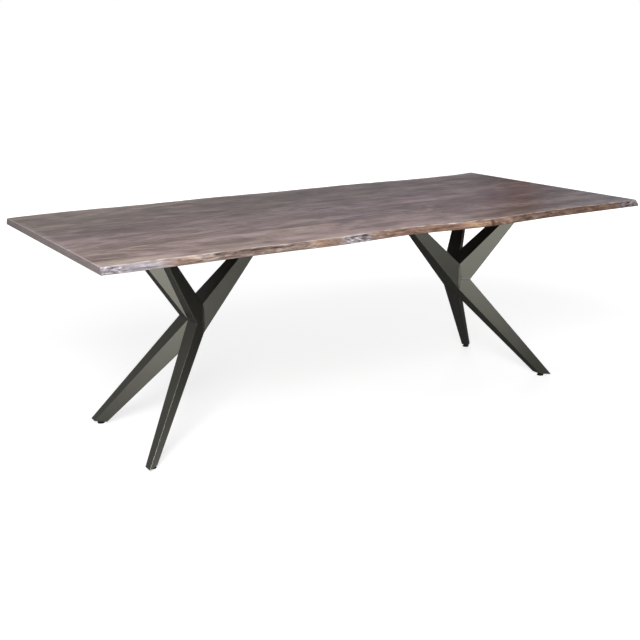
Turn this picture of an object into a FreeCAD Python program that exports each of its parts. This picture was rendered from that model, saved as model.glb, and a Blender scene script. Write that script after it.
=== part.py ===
import FreeCAD, Part
import os
import re
import Sketcher
from FreeCAD import Placement, Rotation, Vector

# Dining table: a live-edge slab of edge-glued boards on two branching bases of tapered steel tube.
# Millimetres. X runs along the table, Y across it, Z up. The origin is on the floor, at the middle.

sizes = {
    # slab
    "top_length": 2200,
    "top_height": 760,
    "top_thick": 24,
    "edge_reach": 500,            # centre line to the mean lower line of a live edge
    "edge_bulge": 4,              # how far a live edge swells between its lower and upper lines
    "end_ease": 2,                # bevel along the upper edge of the sawn ends
    "inner_board_width": 200,
    "seam_shift": 40,             # glue lines stand this far towards the rear, not evenly about the middle
    "tongue_width": 20,
    "tongue_thick": 6,
    "tongue_stop": 60,            # from the end of the slab to the end of a tongue
    "tongue_clearance": 0.1,
    # branching base: the junction
    "hub_inset": 480,             # end of the slab to the outer notch, where arm and leg meet
    "hub_z": 417,
    "crease_run": 37,             # notch to the upright inner corners, where the inner arm starts
    "crease_y": 50,
    "crease_low": 373,
    "crease_high": 481,
    "mitre_run": 21,              # notch to the line where all five tubes meet, inside the junction
    "tube_wall": 2.5,
    "cavity_overrun": 0.1,        # how far a tube's hollow is drawn out past its ends, as a share
    # branching base: the tips, measured along the table from the notch
    "tip_run": 286,               # to the outermost point of a leg
    "tip_near": 244,              # its two corners across the table
    "tip_far": 283,
    "foot_run": 39,               # length of the leg's cut end, along the table
    "foot_gap": 10,               # floor to foot plate
    "arm_reach": 169,
    "arm_run": 27,
    "inner_reach": 330,
    "inner_run": 40,
    "inner_span": 34,
    # mounting plates and their screws
    "plate_length": 70,
    "plate_width": 120,
    "plate_thick": 5,
    "hole_gap": 90,
    "hole_radius": 3.5,
    "screw_radius": 3,
    "screw_grip": 16,             # length of the screw in the wood
    "screw_clearance": 0.1,
    "screw_head_radius": 5.8,
    "screw_head_height": 4,
    # levelling feet
    "foot_plate_thick": 5,
    "stud_inset": 6,              # from the middle of the leg's cut end, towards the junction
    "stud_radius": 4,
    "stud_top": 27,
    "thread_clearance": 0.05,
    "nut_radius": 7.5,
    "nut_height": 6.5,
    "collar_radius": 7.5,
    "collar_gap": 0.3,
    "collar_height": 1.7,
    "pad_radius": 14,
    "pad_neck": 9,
    "pad_height": 7.8,
    "pad_rim": 3.5,
    "pad_floor": 3,
    "pad_clearance": 0.1,
}

# Live edges: how far the lower edge stands out from its mean line at evenly spaced stations,
# and how far the upper edge lies inside the lower one there.
front_wave = [-9, -3, -5, 4, -12, 16, 5, 1, 4]
front_bevel = [6, 12, 9, 16, 13, 10, 14, 12, 17]
rear_wave = [-16, 4, 1, 8, 4, 6, -4, -13, 18]
rear_bevel = [14, 10, 15, 11, 16, 12, 9, 14, 12]
edge_tables = {
    "front_wave": front_wave,
    "front_bevel": front_bevel,
    "rear_wave": rear_wave,
    "rear_bevel": rear_bevel,
}
for table_name, table in edge_tables.items():
    for station, offset in enumerate(table, start=1):
        sizes["%s_%d" % (table_name, station)] = offset

doc = FreeCAD.newDocument("dining_table")
sheet = doc.addObject("Spreadsheet::Sheet", "sizes")
for row, (alias, number) in enumerate(sizes.items(), start=1):
    sheet.set("A%d" % row, alias)
    sheet.set("B%d" % row, str(number))
    sheet.setAlias("B%d" % row, alias)
doc.recompute()


def formula(text):
    # every size named in the text becomes a reference to its cell
    def cell(word):
        name = word.group()
        return "sizes." + name if name in sizes else name
    return re.sub(r"[a-z]\w*", cell, text)


def value(text):
    return float(sheet.evalExpression(formula(text)))


def bind(thing, name, text):
    thing.setExpression(name, formula(text))


# Places that several pieces share
underside = "(top_height - top_thick)"
arm_top = "(top_height - top_thick - plate_thick)"
leg_end = "(foot_gap + foot_plate_thick)"
wide = "(4 * edge_reach)"    # well past both long edges
hub_x = "(top_length / 2 - hub_inset)"
crease_x = "(top_length / 2 - hub_inset - crease_run)"
mitre_x = "(top_length / 2 - hub_inset - mitre_run)"
tip_x = "(top_length / 2 - hub_inset + tip_run)"
arm_x = "(top_length / 2 - hub_inset + arm_reach)"
inner_x = "(top_length / 2 - hub_inset - inner_reach)"
stud_x = "(%s - foot_run / 2 - stud_inset)" % tip_x


def strip_middle(x):
    # middle line of the straight strip, in plan, that a leg and an outer arm share
    near = "tip_near * (%s - %s) / tip_run" % (x, hub_x)
    far = "crease_y + (tip_far - crease_y) * (%s - %s) / (tip_run + crease_run)" % (x, crease_x)
    return "((%s + %s) / 2)" % (near, far)


def glue_line(number):
    # the four glue lines are numbered -3, -1, 1 and 3, in half board widths
    return "(%s * inner_board_width / 2 + seam_shift)" % number


arm_y = strip_middle(arm_x)
stud_y = strip_middle(stud_x)

nodes = {}


def node(label, thing):
    thing.Label = label
    nodes[label] = thing
    return thing


def add(kind, name, **settings):
    thing = doc.addObject(kind, name)
    for key, setting in settings.items():
        setattr(thing, key, setting)
    return thing


def polygon(sketch, corners):
    # closed outline through corners given as formulas, each corner held from the sketch's origin
    points = []
    for across, up in corners:
        points.append(Vector(value(across), value(up), 0))
    count = len(points)
    for i in range(count):
        sketch.addGeometry(Part.LineSegment(points[i], points[(i + 1) % count]), False)
    for i in range(count):
        sketch.addConstraint(Sketcher.Constraint("Coincident", i, 2, (i + 1) % count, 1))
    for i, corner in enumerate(corners):
        for kind, text, axis in zip(("DistanceX", "DistanceY"), corner, (-2, -1)):
            if text == "0":
                sketch.addConstraint(Sketcher.Constraint("PointOnObject", i, 1, axis))
            else:
                index = sketch.addConstraint(Sketcher.Constraint(kind, -1, 1, i, 1, value(text)))
                bind(sketch, "Constraints[%d]" % index, text)


def box(name, length, width, height, x, y, z):
    # block centred on x and y, standing on z
    block = add("Part::Box", name)
    bind(block, "Length", length)
    bind(block, "Width", width)
    bind(block, "Height", height)
    bind(block, "Placement.Base.x", "%s - (%s) / 2" % (x, length))
    bind(block, "Placement.Base.y", "%s - (%s) / 2" % (y, width))
    bind(block, "Placement.Base.z", z)
    return block


def mirrored(label, source, normal):
    return node(label, add("Part::Mirroring", label, Source=source, Normal=normal))


def copies(solid, spots):
    return Part.makeCompound([solid.translated(Vector(x, y, 0)) for x, y in spots])


def group(label, shape):
    return add("Part::Feature", label, Shape=shape)


# Slab: holes, grooves and bevels shared by the boards
side_view = Placement(Vector(0, 0, 0), Rotation(Vector(1, 0, 0), 90))


def side_prism(name, corners, width):
    # outline drawn in side view and carried across the table, half of the width each way
    sketch = add("Sketcher::SketchObject", name + "_outline", Placement=side_view)
    polygon(sketch, corners)
    prism = add("Part::Extrusion", name, Base=sketch, DirMode="Normal", Solid=True, Symmetric=True)
    bind(prism, "LengthFwd", width)
    return prism


def plate_spots():
    # screw places of the six mounting plates
    spots = []
    for side in (-1, 1):
        centres = [(side * value(inner_x), 0)]
        for row in (-1, 1):
            centres.append((side * value(arm_x), row * value(arm_y)))
        for x, y in centres:
            for step in (-1, 1):
                spots.append((x, y + step * value("hole_gap") / 2))
    return spots


def cylinder(radius, length, z):
    return Part.makeCylinder(value(radius), value(length), Vector(0, 0, value(z)))


cuts = []
for i, line in enumerate(("-3", "-1", "1", "3"), start=1):
    cuts.append(box(
        "tongue_groove_%d" % i,
        "top_length - 2 * tongue_stop + 2 * tongue_clearance",
        "tongue_width + 2 * tongue_clearance",
        "tongue_thick + 2 * tongue_clearance",
        "0",
        glue_line(line),
        underside + " + top_thick / 2 - tongue_thick / 2 - tongue_clearance"))
for side, sign in (("left", "-1"), ("right", "1")):
    outside = sign + " * (top_length / 2 + end_ease)"
    cuts.append(side_prism(side + "_end_bevel", [
        (sign + " * (top_length / 2 - 2 * end_ease)", "top_height + end_ease"),
        (outside, "top_height + end_ease"),
        (outside, "top_height - 2 * end_ease"),
    ], wide))
pilot_hole = cylinder("screw_radius + screw_clearance", "screw_grip + screw_clearance", underside)
cuts.append(group("pilot_holes", copies(pilot_hole, plate_spots())))
board_cuts = add("Part::Compound", "board_cuts", Links=cuts)


# Slab: boards
def live_board_blank(name, side):
    # board whose outer face swells through three wavy lines, the lowest one standing out past the top one
    outward = {"front": -1, "rear": 1}[side]
    length = value("top_length")
    inner_y = value(glue_line("%d" % (3 * outward)))
    heights = [value(underside), value("top_height - top_thick / 2"), value("top_height")]
    stations = len(edge_tables[side + "_wave"])
    wavy_lines = [[], [], []]
    for i in range(stations):
        x = length * (i / (stations - 1) - 0.5)
        low = value("edge_reach + %s_wave_%d" % (side, i + 1))
        high = low - value("%s_bevel_%d" % (side, i + 1))
        middle = (low + high) / 2 + value("edge_bulge")
        for points, y, z in zip(wavy_lines, (low, middle, high), heights):
            points.append(Vector(x, outward * y, z))
    wires = []
    for points in wavy_lines:
        curve = Part.BSplineCurve()
        curve.interpolate(points)
        wires.append(Part.Wire(curve.toShape()))
    outer = Part.makeLoft(wires).Faces[0]
    faces = [outer]
    # each flat face is closed by three straight lines from the ends of one edge of the outer face
    start, end = -length / 2, length / 2
    low, high = heights[0], heights[2]
    inner = {(x, z): Vector(x, inner_y, z) for x in (start, end) for z in (low, high)}
    for edge in outer.Edges:
        ends = [vertex.Point for vertex in edge.Vertexes]
        backs = [min(inner.values(), key=point.distanceToPoint) for point in ends]
        sides = Part.makePolygon([ends[0], backs[0], backs[1], ends[1]])
        faces.append(Part.Face(Part.Wire([edge] + sides.Edges)))
    back = [inner[start, low], inner[end, low], inner[end, high], inner[start, high], inner[start, low]]
    faces.append(Part.Face(Part.makePolygon(back)))
    shell = Part.makeShell(faces)
    shell.sewShape()
    solid = Part.makeSolid(shell)
    if solid.Volume < 0:
        solid.reverse()
    return add("Part::Feature", name, Shape=solid)


def board(label, blank):
    return node(label, add("Part::Cut", label, Base=blank, Tool=board_cuts))


for side in ("front", "rear"):
    board(side + "_live_edge_board", live_board_blank(side + "_live_blank", side))
for place, sign in (("front_inner", "-1"), ("middle", "0"), ("rear_inner", "1")):
    blank = box(
        place + "_blank", "top_length", "inner_board_width", "top_thick",
        "0", sign + " * inner_board_width + seam_shift", underside)
    board(place + "_board", blank)

tongues = []
for i, line in enumerate(("-3", "-1", "1", "3"), start=1):
    tongues.append(box(
        "tongue_%d" % i,
        "top_length - 2 * tongue_stop",
        "tongue_width",
        "tongue_thick",
        "0",
        glue_line(line),
        underside + " + top_thick / 2 - tongue_thick / 2"))
node("loose_tongues", add("Part::Compound", "loose_tongues", Links=tongues))


# Branching base: each tube is what a side profile and a plan profile have in common
def tube_blank(name, side_corners, plan_corners):
    side_solid = side_prism(name + "_side", side_corners, wide)
    plan_sketch = add("Sketcher::SketchObject", name + "_plan_outline")
    polygon(plan_sketch, plan_corners)
    plan_solid = add("Part::Extrusion", name + "_plan", Base=plan_sketch, DirMode="Normal", Solid=True)
    bind(plan_solid, "LengthFwd", "top_height")
    return add("Part::Common", name + "_blank", Base=side_solid, Tool=plan_solid)


def inset(start, end):
    # an outline's edge moved inwards by the wall, and drawn out past both its ends
    run = "(%s - (%s))" % (end[0], start[0])
    rise = "(%s - (%s))" % (end[1], start[1])
    length = "sqrt(%s ^ 2 + %s ^ 2)" % (run, rise)
    points = []
    for corner, share in ((start, "-cavity_overrun"), (end, "cavity_overrun")):
        x = "%s - tube_wall * %s / %s + %s * %s" % (corner[0], rise, length, share, run)
        y = "%s + tube_wall * %s / %s + %s * %s" % (corner[1], run, length, share, rise)
        points.append((x, y))
    return points


def bore_at(name, radius, height, spot, z):
    bore = add("Part::Cylinder", name)
    bind(bore, "Radius", radius)
    bind(bore, "Height", height)
    bind(bore, "Placement.Base.x", spot[0])
    bind(bore, "Placement.Base.y", spot[1])
    bind(bore, "Placement.Base.z", z)
    return bore


def tube(label, blank, name, side_edges, plan_edges):
    # sheet-steel walls, open at the cut ends and at the mitres inside the junction
    side_corners = inset(*side_edges[0]) + inset(*side_edges[1])
    plan_corners = inset(*plan_edges[0]) + inset(*plan_edges[1])
    cavity = tube_blank(name + "_cavity", side_corners, plan_corners)
    return node(label, add("Part::Cut", label, Base=blank, Tool=cavity))


strip_plan = [
    (crease_x, "crease_y"),
    (mitre_x, "0"),
    (hub_x, "0"),
    (tip_x, "tip_near"),
    (tip_x, "tip_far"),
]
leg_side = [
    (hub_x, "hub_z"),
    (crease_x, "hub_z"),
    (crease_x, "crease_low"),
    (tip_x + " - foot_run", "foot_gap"),
    (tip_x, "foot_gap"),
]
arm_side = [
    (hub_x, "hub_z"),
    (crease_x, "hub_z"),
    (crease_x, "crease_high"),
    (arm_x + " - arm_run / 2", arm_top),
    (arm_x + " + arm_run / 2", arm_top),
]
# steps from the inner corners to the mitre, down the legs' inner faces and up the arms'
mitre_step = "(crease_run - mitre_run)"
leg_fall = "(crease_low - foot_gap) / (tip_run + crease_run - foot_run)"
arm_rise = "(%s - crease_high) / (arm_reach + crease_run - arm_run / 2)" % arm_top
inner_side = [
    (crease_x, "crease_low"),
    (mitre_x, "crease_low - %s * %s" % (mitre_step, leg_fall)),
    (mitre_x, "crease_high + %s * %s" % (mitre_step, arm_rise)),
    (crease_x, "crease_high"),
    (inner_x + " + inner_run / 2", arm_top),
    (inner_x + " - inner_run / 2", arm_top),
]
inner_plan = [
    (crease_x, "crease_y"),
    (mitre_x, "0"),
    (crease_x, "-crease_y"),
    (inner_x + " - inner_run / 2", "-inner_span / 2"),
    (inner_x + " - inner_run / 2", "inner_span / 2"),
]

# The two long edges of each outline that get a wall, taken anticlockwise
strip_edges = [(strip_plan[2], strip_plan[3]), (strip_plan[4], strip_plan[0])]
leg_edges = [(leg_side[2], leg_side[3]), (leg_side[4], leg_side[0])]
arm_edges = [(arm_side[3], arm_side[2]), (arm_side[0], arm_side[4])]
inner_side_edges = [(inner_side[3], inner_side[4]), (inner_side[5], inner_side[0])]
inner_plan_edges = [(inner_plan[3], inner_plan[2]), (inner_plan[0], inner_plan[4])]

leg_solid = tube_blank("leg", leg_side, strip_plan)
arm_solid = tube_blank("arm", arm_side, strip_plan)
inner_solid = tube_blank("inner", inner_side, inner_plan)
foot_slab = box("foot_slab", "top_length", wide, leg_end, tip_x, "0", "0")
leg_cut = add("Part::Cut", "leg_cut", Base=leg_solid, Tool=foot_slab)
foot_solid = add("Part::Common", "foot_solid", Base=leg_solid, Tool=foot_slab)
stud_spot = (stud_x, stud_y)
stud_hole = bore_at("stud_hole", "stud_radius + thread_clearance", leg_end, stud_spot, "0")

across = Vector(0, 1, 0)
along = Vector(1, 0, 0)


def both_sides(label, thing):
    # right-hand piece and its mirror image on the left base
    mirrored("left_" + label, thing, along)


rear_leg = tube("right_rear_leg", leg_cut, "leg", leg_edges, strip_edges)
rear_arm = tube("right_rear_arm", arm_solid, "arm", arm_edges, strip_edges)
inner_arm = tube("right_inner_arm", inner_solid, "inner", inner_side_edges, inner_plan_edges)
both_sides("rear_leg", rear_leg)
both_sides("rear_arm", rear_arm)
both_sides("inner_arm", inner_arm)
foot_plate = node(
    "right_rear_foot_plate",
    add("Part::Cut", "right_rear_foot_plate", Base=foot_solid, Tool=stud_hole))
both_sides("rear_foot_plate", foot_plate)
for piece in ("leg", "arm", "foot_plate"):
    front = mirrored("right_front_" + piece, nodes["right_rear_" + piece], across)
    both_sides("front_" + piece, front)


# Mounting plates on the arm ends
def mounting_plate(label, x, y):
    body = add("PartDesign::Body", label)
    sketch = body.newObject("Sketcher::SketchObject", label + "_outline")
    plane = [feature for feature in body.Origin.OriginFeatures if feature.Role == "XY_Plane"][0]
    sketch.AttachmentSupport = [(plane, "")]
    sketch.MapMode = "FlatFace"
    half_length = "plate_length / 2"
    half_width = "plate_width / 2"
    polygon(sketch, [
        (half_length, half_width),
        ("-" + half_length, half_width),
        ("-" + half_length, "-" + half_width),
        (half_length, "-" + half_width),
    ])
    for spot in ("hole_gap / 2", "-hole_gap / 2"):
        centre = Vector(0, value(spot), 0)
        hole = sketch.addGeometry(Part.Circle(centre, Vector(0, 0, 1), value("hole_radius")), False)
        sketch.addConstraint(Sketcher.Constraint("PointOnObject", hole, 3, -2))
        ring = sketch.addConstraint(Sketcher.Constraint("Radius", hole, value("hole_radius")))
        bind(sketch, "Constraints[%d]" % ring, "hole_radius")
        place = sketch.addConstraint(Sketcher.Constraint("DistanceY", -1, 1, hole, 3, value(spot)))
        bind(sketch, "Constraints[%d]" % place, spot)
    pad = body.newObject("PartDesign::Pad", label + "_sheet")
    pad.Profile = sketch
    bind(pad, "Length", "plate_thick")
    bind(body, "Placement.Base.x", x)
    bind(body, "Placement.Base.y", y)
    bind(body, "Placement.Base.z", arm_top)
    return node(label, body)


both_sides("inner_plate", mounting_plate("right_inner_plate", inner_x, "0"))
both_sides("rear_plate", mounting_plate("right_rear_plate", arm_x, arm_y))
both_sides("front_plate", mirrored("right_front_plate", nodes["right_rear_plate"], across))

# Hexagon-head wood screws between the plates and the slab
hexagon_sides = 6
head_z = "%s - screw_head_height" % arm_top
head_circle = Part.makeCircle(value("screw_head_radius"), Vector(0, 0, value(head_z)))
hexagon = head_circle.discretize(Number=hexagon_sides + 1)
screw_head = Part.Face(Part.makePolygon(hexagon)).extrude(Vector(0, 0, value("screw_head_height")))
screw_shank = cylinder("screw_radius", "plate_thick + screw_grip", arm_top)
base_screw = screw_head.fuse(screw_shank)
node("plate_screws", group("plate_screws", copies(base_screw, plate_spots())))

# Levelling feet. Their bars that are round on the real foot have this many narrow sides.
round_sides = 24


def turned(name, sides, radius, height, spot, z):
    bar = add("Part::Prism", name, Polygon=sides)
    bind(bar, "Circumradius", radius)
    bind(bar, "Height", height)
    bind(bar, "Placement.Base.x", spot[0])
    bind(bar, "Placement.Base.y", spot[1])
    bind(bar, "Placement.Base.z", z)
    return bar


def glide_pad(label, spot):
    bore_radius = "stud_radius + pad_clearance"
    rim = turned(label + "_rim", round_sides, "pad_radius", "pad_rim", spot, "0")
    neck = turned(label + "_neck", round_sides, "pad_neck", "pad_height", spot, "0")
    bore = turned(label + "_bore", round_sides, bore_radius, "pad_height", spot, "pad_floor")
    disc = add("Part::Fuse", label + "_disc", Base=rim, Tool=neck)
    return node(label, add("Part::Cut", label, Base=disc, Tool=bore))


def glide_stud(label, spot):
    foot = "pad_floor + thread_clearance"
    shaft = turned(label + "_shaft", round_sides, "stud_radius", "stud_top - (%s)" % foot, spot, foot)
    collar_z = "foot_gap - collar_gap - collar_height"
    collar = turned(label + "_collar", hexagon_sides, "collar_radius", "collar_height", spot, collar_z)
    return node(label, add("Part::Fuse", label, Base=shaft, Tool=collar))


nut_blank = turned("nut_blank", hexagon_sides, "nut_radius", "nut_height", stud_spot, leg_end)
nut_bore = bore_at("nut_bore", "stud_radius + thread_clearance", "nut_height", stud_spot, leg_end)
rear_nut = add("Part::Cut", "right_rear_nut", Base=nut_blank, Tool=nut_bore)
front_nut = add("Part::Mirroring", "right_front_nut", Source=rear_nut, Normal=across)
nuts = [rear_nut, front_nut]
for nut in (rear_nut, front_nut):
    nuts.append(add("Part::Mirroring", nut.Name.replace("right", "left"), Source=nut, Normal=along))
node("weld_nuts", add("Part::Compound", "weld_nuts", Links=nuts))
for side, sign_x in (("right", "1"), ("left", "-1")):
    for row, sign_y in (("front", "-1"), ("rear", "1")):
        spot = (sign_x + " * " + stud_x, sign_y + " * " + stud_y)
        glide_pad("%s_%s_glide_pad" % (side, row), spot)
        glide_stud("%s_%s_glide_stud" % (side, row), spot)

# Check every object, then write one file for each piece
doc.recompute()
for thing in doc.Objects:
    if "Invalid" in thing.State or "Error" in thing.State:
        raise RuntimeError("%s failed: %s" % (thing.Label, thing.State))
for label, thing in nodes.items():
    shape = thing.Shape
    if shape.isNull() or not shape.isValid() or not shape.Solids:
        raise RuntimeError(label + " has no valid shape")
    if min(solid.Volume for solid in shape.Solids) <= 0:
        raise RuntimeError(label + " has an empty solid")
os.makedirs("parts", exist_ok=True)
for label, thing in nodes.items():
    thing.Shape.exportStep("parts/%s.step" % label)
bounds = FreeCAD.BoundBox()
for thing in nodes.values():
    bounds.add(thing.Shape.BoundBox)
print("pieces", len(nodes), "bounds", bounds)
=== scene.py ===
import math

import bmesh
import bpy
import numpy as np
from mathutils import Matrix, Vector


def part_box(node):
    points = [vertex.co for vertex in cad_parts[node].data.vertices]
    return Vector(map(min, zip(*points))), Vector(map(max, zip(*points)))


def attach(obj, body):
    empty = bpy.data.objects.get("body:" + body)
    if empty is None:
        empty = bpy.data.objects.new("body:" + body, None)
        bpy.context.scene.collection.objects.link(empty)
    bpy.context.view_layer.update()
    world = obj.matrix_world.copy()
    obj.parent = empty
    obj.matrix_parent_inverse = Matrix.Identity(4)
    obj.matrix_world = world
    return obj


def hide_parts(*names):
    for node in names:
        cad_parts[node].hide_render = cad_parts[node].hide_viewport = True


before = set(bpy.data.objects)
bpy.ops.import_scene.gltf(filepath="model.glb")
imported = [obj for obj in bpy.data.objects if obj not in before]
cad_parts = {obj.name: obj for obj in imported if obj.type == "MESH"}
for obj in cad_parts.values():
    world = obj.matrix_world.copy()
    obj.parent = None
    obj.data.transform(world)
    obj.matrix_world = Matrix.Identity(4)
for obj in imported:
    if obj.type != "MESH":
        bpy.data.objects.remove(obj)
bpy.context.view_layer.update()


# Shader maths

def operator(kind):
    # a method that adds one Math node, and its reflected form
    return (lambda self, other: self.math(kind, self, other),
            lambda self, other: self.math(kind, other, self))


class Shade:
    # an output socket of a node tree; arithmetic on it adds Math nodes to the tree
    def __init__(self, tree, socket=None):
        self.tree = tree
        self.socket = socket

    def make(self, kind, settings=None, sockets=None, output=0):
        # any node: its settings first, then the values or links of its sockets, by name or by place
        node = self.tree.nodes.new(kind)
        for key, setting in (settings or {}).items():
            if key == "stops":
                setStops(node.color_ramp, setting)
            else:
                setattr(node, key, setting)
        for key, value in (sockets or {}).items():
            if isinstance(value, Shade):
                self.tree.links.new(value.socket, node.inputs[key])
            else:
                node.inputs[key].default_value = value
        return Shade(self.tree, node.outputs[output] if node.outputs else None)

    def math(self, operation, *values):
        return self.make("ShaderNodeMath", {"operation": operation}, dict(enumerate(values)))

    __add__, __radd__ = operator("ADD")
    __sub__, __rsub__ = operator("SUBTRACT")
    __mul__, __rmul__ = operator("MULTIPLY")
    __truediv__, __rtruediv__ = operator("DIVIDE")


def setStops(ramp, stops):
    # colour ramp from (place, colour) pairs, in rising order
    while len(ramp.elements) < len(stops):
        ramp.elements.new(1.0)
    for element, (place, colour) in zip(ramp.elements, stops):
        element.position = place
        element.color = colour


def paint(red, green, blue):
    # screen colour, 0 to 255, as the linear colour that a socket holds
    share = np.array([red, green, blue]) / 255
    linear = np.where(share <= 0.04045, share / 12.92, ((share + 0.055) / 1.055) ** 2.4)
    return (*linear.tolist(), 1.0)


def grey(level, blue=1.0):
    # linear grey, with its blue made stronger
    return (level, level, level * blue, 1)


def newMaterial(name):
    material = bpy.data.materials.new(name)
    material.use_nodes = True
    material.node_tree.nodes.clear()
    return material, Shade(material.node_tree)


def coords(sheet):
    return sheet.make("ShaderNodeTexCoord", output="Object")


def axes(sheet, vector):
    parts = sheet.make("ShaderNodeSeparateXYZ", {}, {"Vector": vector}).socket.node
    return [Shade(sheet.tree, part) for part in parts.outputs]


def noise(sheet, perMetre, shift=(0, 0, 0), detail=3, rough=0.5, warp=0):
    # cloudy noise about zero, mostly within half a unit of it; perMetre counts features along X, Y and Z
    place = sheet.make("ShaderNodeMapping", {}, {
        "Vector": coords(sheet), "Location": shift, "Scale": perMetre})
    cloud = sheet.make("ShaderNodeTexNoise", {}, {
        "Vector": place, "Scale": 1, "Detail": detail, "Roughness": rough, "Distortion": warp})
    return (cloud - 0.5) * 2


def evenNoise(sheet, perMetre, detail=2, rough=0.5):
    # noise with features of the same size each way
    return noise(sheet, (perMetre, perMetre, perMetre), (0, 0, 0), detail, rough)


def smooth(sheet, value, low, high):
    # 0 up to low, 1 from high, an easy slope between them
    return sheet.make("ShaderNodeMapRange", {"interpolation_type": "SMOOTHSTEP"}, {
        "Value": value, "From Min": low, "From Max": high})


def mixed(sheet, share, first, second, mode="MIX"):
    # colour between first and second; the Mix node's colour sockets are taken by place
    return sheet.make("ShaderNodeMix", {"data_type": "RGBA", "blend_type": mode}, {
        0: share, 6: first, 7: second}, 2)


def ramp(sheet, value, stops):
    return sheet.make("ShaderNodeValToRGB", {"stops": stops}, {"Fac": value})


def mark(sheet, name):
    # a number that the mesh carries at each point or face, 0 where it has none
    return sheet.make("ShaderNodeAttribute", {"attribute_name": name}, output="Fac")


def bumped(sheet, height, strength, distance):
    # normal tilted by a height, of which one unit stands for distance in metres
    return sheet.make("ShaderNodeBump", {}, {"Strength": strength, "Distance": distance, "Height": height})


def finishMaterial(sheet, shader):
    sheet.make("ShaderNodeOutputMaterial", {}, {"Surface": shader})


def finishSurface(sheet, sockets):
    finishMaterial(sheet, sheet.make("ShaderNodeBsdfPrincipled", {}, sockets))


# Wood of the slab

wood = {
    "darkGrain": paint(64, 51, 47),
    "brown": paint(98, 81, 76),
    "midBrown": paint(121, 103, 99),
    "paleGrain": paint(170, 152, 147),
    "palestGrain": paint(194, 177, 171),
    "olive": paint(250, 247, 232),
    "barkShadow": paint(66, 54, 49),
    "barkBrown": paint(120, 102, 94),
    "barkTan": paint(152, 132, 122),
    "barkPale": paint(202, 188, 180),
    "amberDark": paint(108, 82, 70),
    "amber": paint(153, 121, 104),
    "amberPale": paint(203, 168, 135),
    "silverDark": paint(146, 137, 141),
    "silver": paint(173, 167, 175),
    "silverPale": paint(232, 228, 233),
    "endGrain": paint(168, 155, 155),
    "endDark": paint(130, 118, 118),
    # pale of the rubbed arrises; on the live edges' upper arris it is also a painted highlight
    "rubbedPaleAndHighlight": paint(232, 222, 217),
    "varnishRough": 0.055, "varnishIor": 1.45, "bareGloss": 0.15,
    "ringWidth": 0.0075,
    # how far the log's heart wanders across and up and down, and how far its rings ripple and drift
    "wander": 0.02, "heave": 0.012, "ripple": 0.005, "drift": 0.022,
    # kinds of figure: features for each metre along, across and down through the board, a step that sets like
    # kinds apart, and the noise's detail, roughness and warp
    "heartAcross": ((1.1, 2.5, 2.5), 0, 2),
    "heartBelow": ((0.9, 2, 2), 20, 2),
    "ringRipple": ((5, 26, 26), 0, 3, 0.6),
    "ringDrift": ((0.5, 8, 8), 30, 2),
    "ringStrength": ((2.2, 14, 14), 50, 2),
    "patches": ((4.2, 19, 19), 0, 3, 0.55, 0.6),
    "blotches": ((6.5, 8.5, 8.5), 60, 4, 0.62, 0.9),
    "clouds": ((1.3, 3.4, 3.4), 0, 2),
    "stains": ((4.5, 6.5, 6.5), 80, 3, 0.6, 0.8),
    "streaks": ((13, 62, 62), 0, 4, 0.6, 0.3),
    "dashes": ((6.5, 34, 34), 40, 3, 0.6),
    "fibres": ((45, 430, 430), 0, 2),
    "pores": ((22, 190, 190), 0, 2),
    "flecks": ((24, 45, 95), 0, 4, 0.62),
    "weather": ((7, 12, 24), 0, 3, 0.6),
    "crackle": ((60, 80, 150), 0, 5, 0.7),
}


def figure(sheet, kind, shift):
    # noise of one kind of figure, at the board's own place in it
    perMetre, step, *detail = wood[kind]
    return noise(sheet, perMetre, (shift[0] + step, shift[1], shift[2]), *detail)


def growthRings(sheet, shift, heart):
    # tubes about the log's heart, which wanders and is tilted to the board; each ring darkens outwards and
    # then starts pale again, more strongly in some places. heart holds its y and z at the middle of the table
    # and its rise for each metre along it
    x, y, z = axes(sheet, coords(sheet))
    across = y - heart[0] + figure(sheet, "heartAcross", shift) * wood["wander"]
    below = z - heart[1] - x * heart[2] + figure(sheet, "heartBelow", shift) * wood["heave"]
    distance = sheet.math("SQRT", across * across + below * below)
    distance = distance + figure(sheet, "ringRipple", shift) * wood["ripple"]
    distance = distance + figure(sheet, "ringDrift", shift) * wood["drift"]
    turn = sheet.math("FRACT", distance / wood["ringWidth"])
    strength = 0.9 + figure(sheet, "ringStrength", shift) * 1.1
    return (smooth(sheet, turn, 0.25, 0.9) - smooth(sheet, turn, 0.9, 1.0)) * strength


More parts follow.
